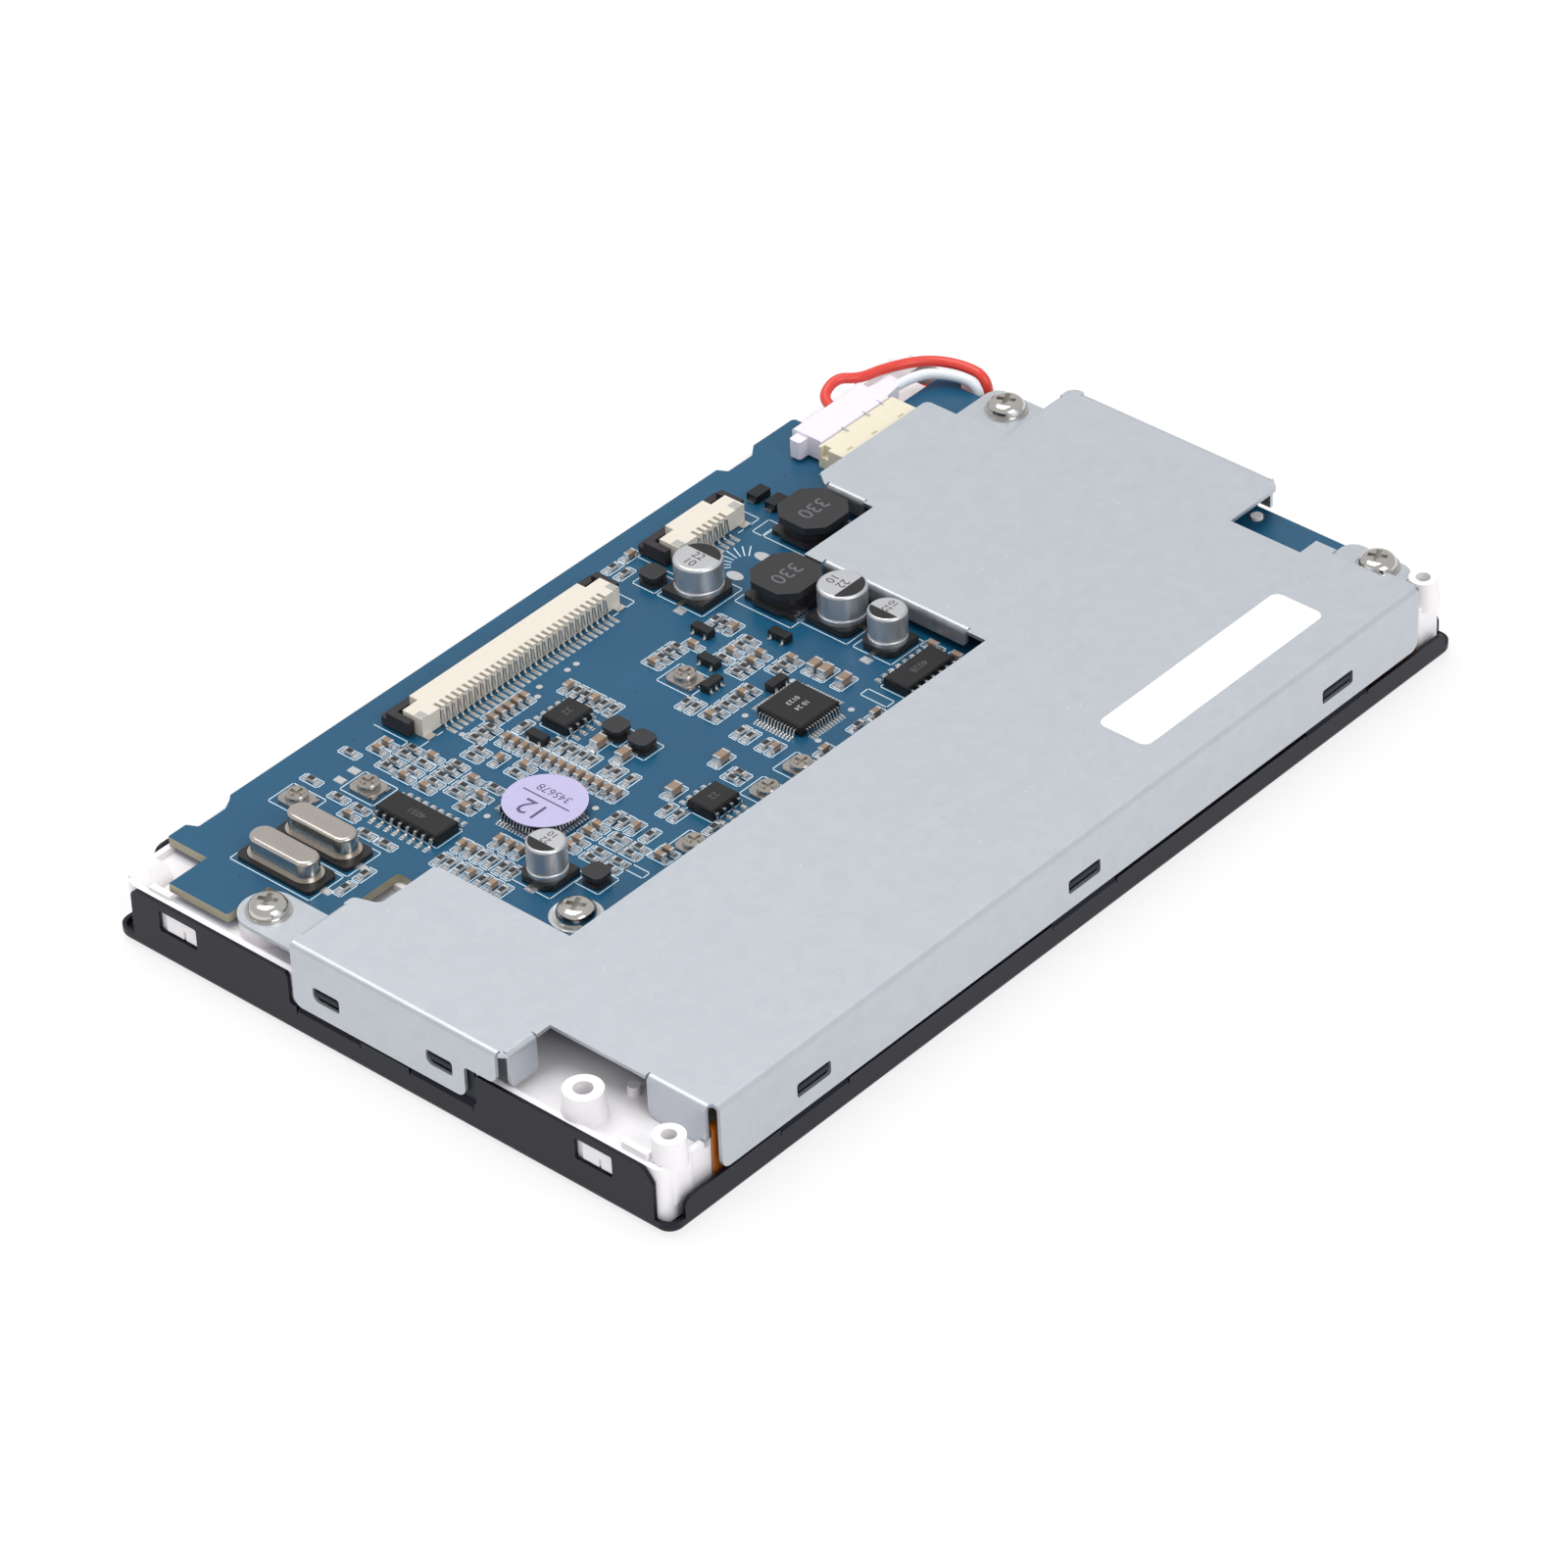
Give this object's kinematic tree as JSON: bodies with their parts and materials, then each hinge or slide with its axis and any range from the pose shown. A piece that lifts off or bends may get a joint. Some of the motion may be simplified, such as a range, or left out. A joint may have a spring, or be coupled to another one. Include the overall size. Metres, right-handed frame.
{
  "type": "lcd display module",
  "caption": "Thin rectangular colour display module with black bezel, white frame, rear steel shield, circuit board and backlight wires.",
  "frame": {"origin": "centre of the bounding box, on the bezel's front face, which faces down", "axes": "+X along the long side, +Y from the side with the flexible circuit to the side with the flat-cable connectors, +Z from the glass to the rear shield"},
  "size_m": [0.1442, 0.0886, 0.015],
  "materials": {
    "black_painted_steel": "satin black paint on sheet",
    "dark_polariser": "anti-glare film",
    "display_glass": "polished thin glass",
    "diffuser_film": "frosted film",
    "clear_acrylic": "clear moulded sheet",
    "white_film": "white film",
    "lamp_glass": "phosphor-coated glass tube",
    "silver_foil": "bright foil",
    "white_rubber": "silicone rubber",
    "white_moulding": "moulded polycarbonate",
    "blue_board": "solder mask on glass-fibre laminate",
    "bright_steel": "galvanised sheet",
    "nickel_plate": "nickel-plated steel",
    "orange_polyimide": "polyimide film",
    "cream_moulding": "heat-proof nylon",
    "dark_moulding": "heat-proof nylon",
    "tin_plate": "tinned",
    "ivory_moulding": "nylon",
    "white_nylon": "nylon",
    "red_insulation": "silicone insulation",
    "white_insulation": "silicone insulation",
    "black_moulding": "moulded",
    "can_aluminium": "satin can with printed mark",
    "ferrite": "sintered ferrite",
    "nickel_can": "drawn nickel-silver can",
    "chip_epoxy": "moulded epoxy",
    "lilac_paper": "printed paper",
    "trimmer_ceramic": "sintered",
    "resistor_ceramic": "glazed top, tinned ends",
    "capacitor_ceramic": "sintered, tinned ends",
    "rotor_metal": "nickel-plated brass",
    "white_paper": "coated paper"
  },
  "bodies": {
    "module": {"front_bezel": "black_painted_steel", "front_polariser": "dark_polariser", "colour_filter_glass": "display_glass", "lower_glass": "display_glass", "rear_polariser": "dark_polariser", "diffuser_films": "diffuser_film", "light_guide": "clear_acrylic", "reflector_sheet": "white_film", "backlight_lamp": "lamp_glass", "lamp_reflector": "silver_foil", "lamp_holders": "white_rubber", "moulded_frame": "white_moulding", "main_board": "blue_board", "rear_shield": "bright_steel", "mounting_screws": "nickel_plate", "panel_flex": "orange_polyimide", "long_connector_housing": "cream_moulding", "long_connector_contacts": "tin_plate", "small_connector_housing": "cream_moulding", "small_connector_contacts": "tin_plate", "backlight_header": "ivory_moulding", "header_tabs": "tin_plate", "backlight_plug": "white_nylon", "red_wire": "red_insulation", "white_wire": "white_insulation", "capacitor_bases": "black_moulding", "capacitor_tabs": "tin_plate", "power_inductor_1": "ferrite", "power_inductor_2": "ferrite", "small_inductors": "ferrite", "crystal_can_1": "nickel_can", "crystal_can_2": "nickel_can", "crystal_bases": "black_moulding", "logic_chip_a": "chip_epoxy", "logic_chip_b": "chip_epoxy", "amplifier_chip_a": "chip_epoxy", "amplifier_chip_b": "chip_epoxy", "processor_chip_a": "chip_epoxy", "processor_chip_b": "chip_epoxy", "long_chip_leads": "tin_plate", "square_chip_leads": "tin_plate", "round_sticker": "lilac_paper", "trimmer_bodies": "trimmer_ceramic", "chip_resistors": "resistor_ceramic", "chip_capacitors": "capacitor_ceramic", "transistors": "chip_epoxy", "diodes": "chip_epoxy", "rear_label": "white_paper", "capacitor_can_1": "can_aluminium", "capacitor_can_2": "can_aluminium", "capacitor_can_3": "can_aluminium", "capacitor_can_4": "can_aluminium"},
    "long_slider": {"long_connector_slider": "dark_moulding"},
    "small_slider": {"small_connector_slider": "dark_moulding"},
    "rotor_1": {"trimmer_rotor_1": "rotor_metal"},
    "rotor_2": {"trimmer_rotor_2": "rotor_metal"},
    "rotor_3": {"trimmer_rotor_3": "rotor_metal"},
    "rotor_4": {"trimmer_rotor_4": "rotor_metal"},
    "rotor_5": {"trimmer_rotor_5": "rotor_metal"},
    "rotor_6": {"trimmer_rotor_6": "rotor_metal"}
  },
  "joints": [
    {"name": "long_slider_pull", "type": "slide", "parent": "module", "child": "long_slider", "axis": [0, 1, 0], "range_m": [0, 0.001]},
    {"name": "small_slider_pull", "type": "slide", "parent": "module", "child": "small_slider", "axis": [0, 1, 0], "range_m": [0, 0.001]},
    {"name": "rotor_1_turn", "type": "hinge", "parent": "module", "child": "rotor_1", "pos_m": [-0.04865, 0.0363, 0.011], "axis": [0, 0, 1], "range_deg": [-110, 110]},
    {"name": "rotor_2_turn", "type": "hinge", "parent": "module", "child": "rotor_2", "pos_m": [-0.04165, 0.0312, 0.011], "axis": [0, 0, 1], "range_deg": [-110, 110]},
    {"name": "rotor_3_turn", "type": "hinge", "parent": "module", "child": "rotor_3", "pos_m": [-0.02585, -0.0068, 0.011], "axis": [0, 0, 1], "range_deg": [-110, 110]},
    {"name": "rotor_4_turn", "type": "hinge", "parent": "module", "child": "rotor_4", "pos_m": [-0.00175, 0.0164, 0.011], "axis": [0, 0, 1], "range_deg": [-110, 110]},
    {"name": "rotor_5_turn", "type": "hinge", "parent": "module", "child": "rotor_5", "pos_m": [-0.01255, -0.0066, 0.011], "axis": [0, 0, 1], "range_deg": [-110, 110]},
    {"name": "rotor_6_turn", "type": "hinge", "parent": "module", "child": "rotor_6", "pos_m": [-0.00645, -0.0065, 0.011], "axis": [0, 0, 1], "range_deg": [-110, 110]}
  ]
}
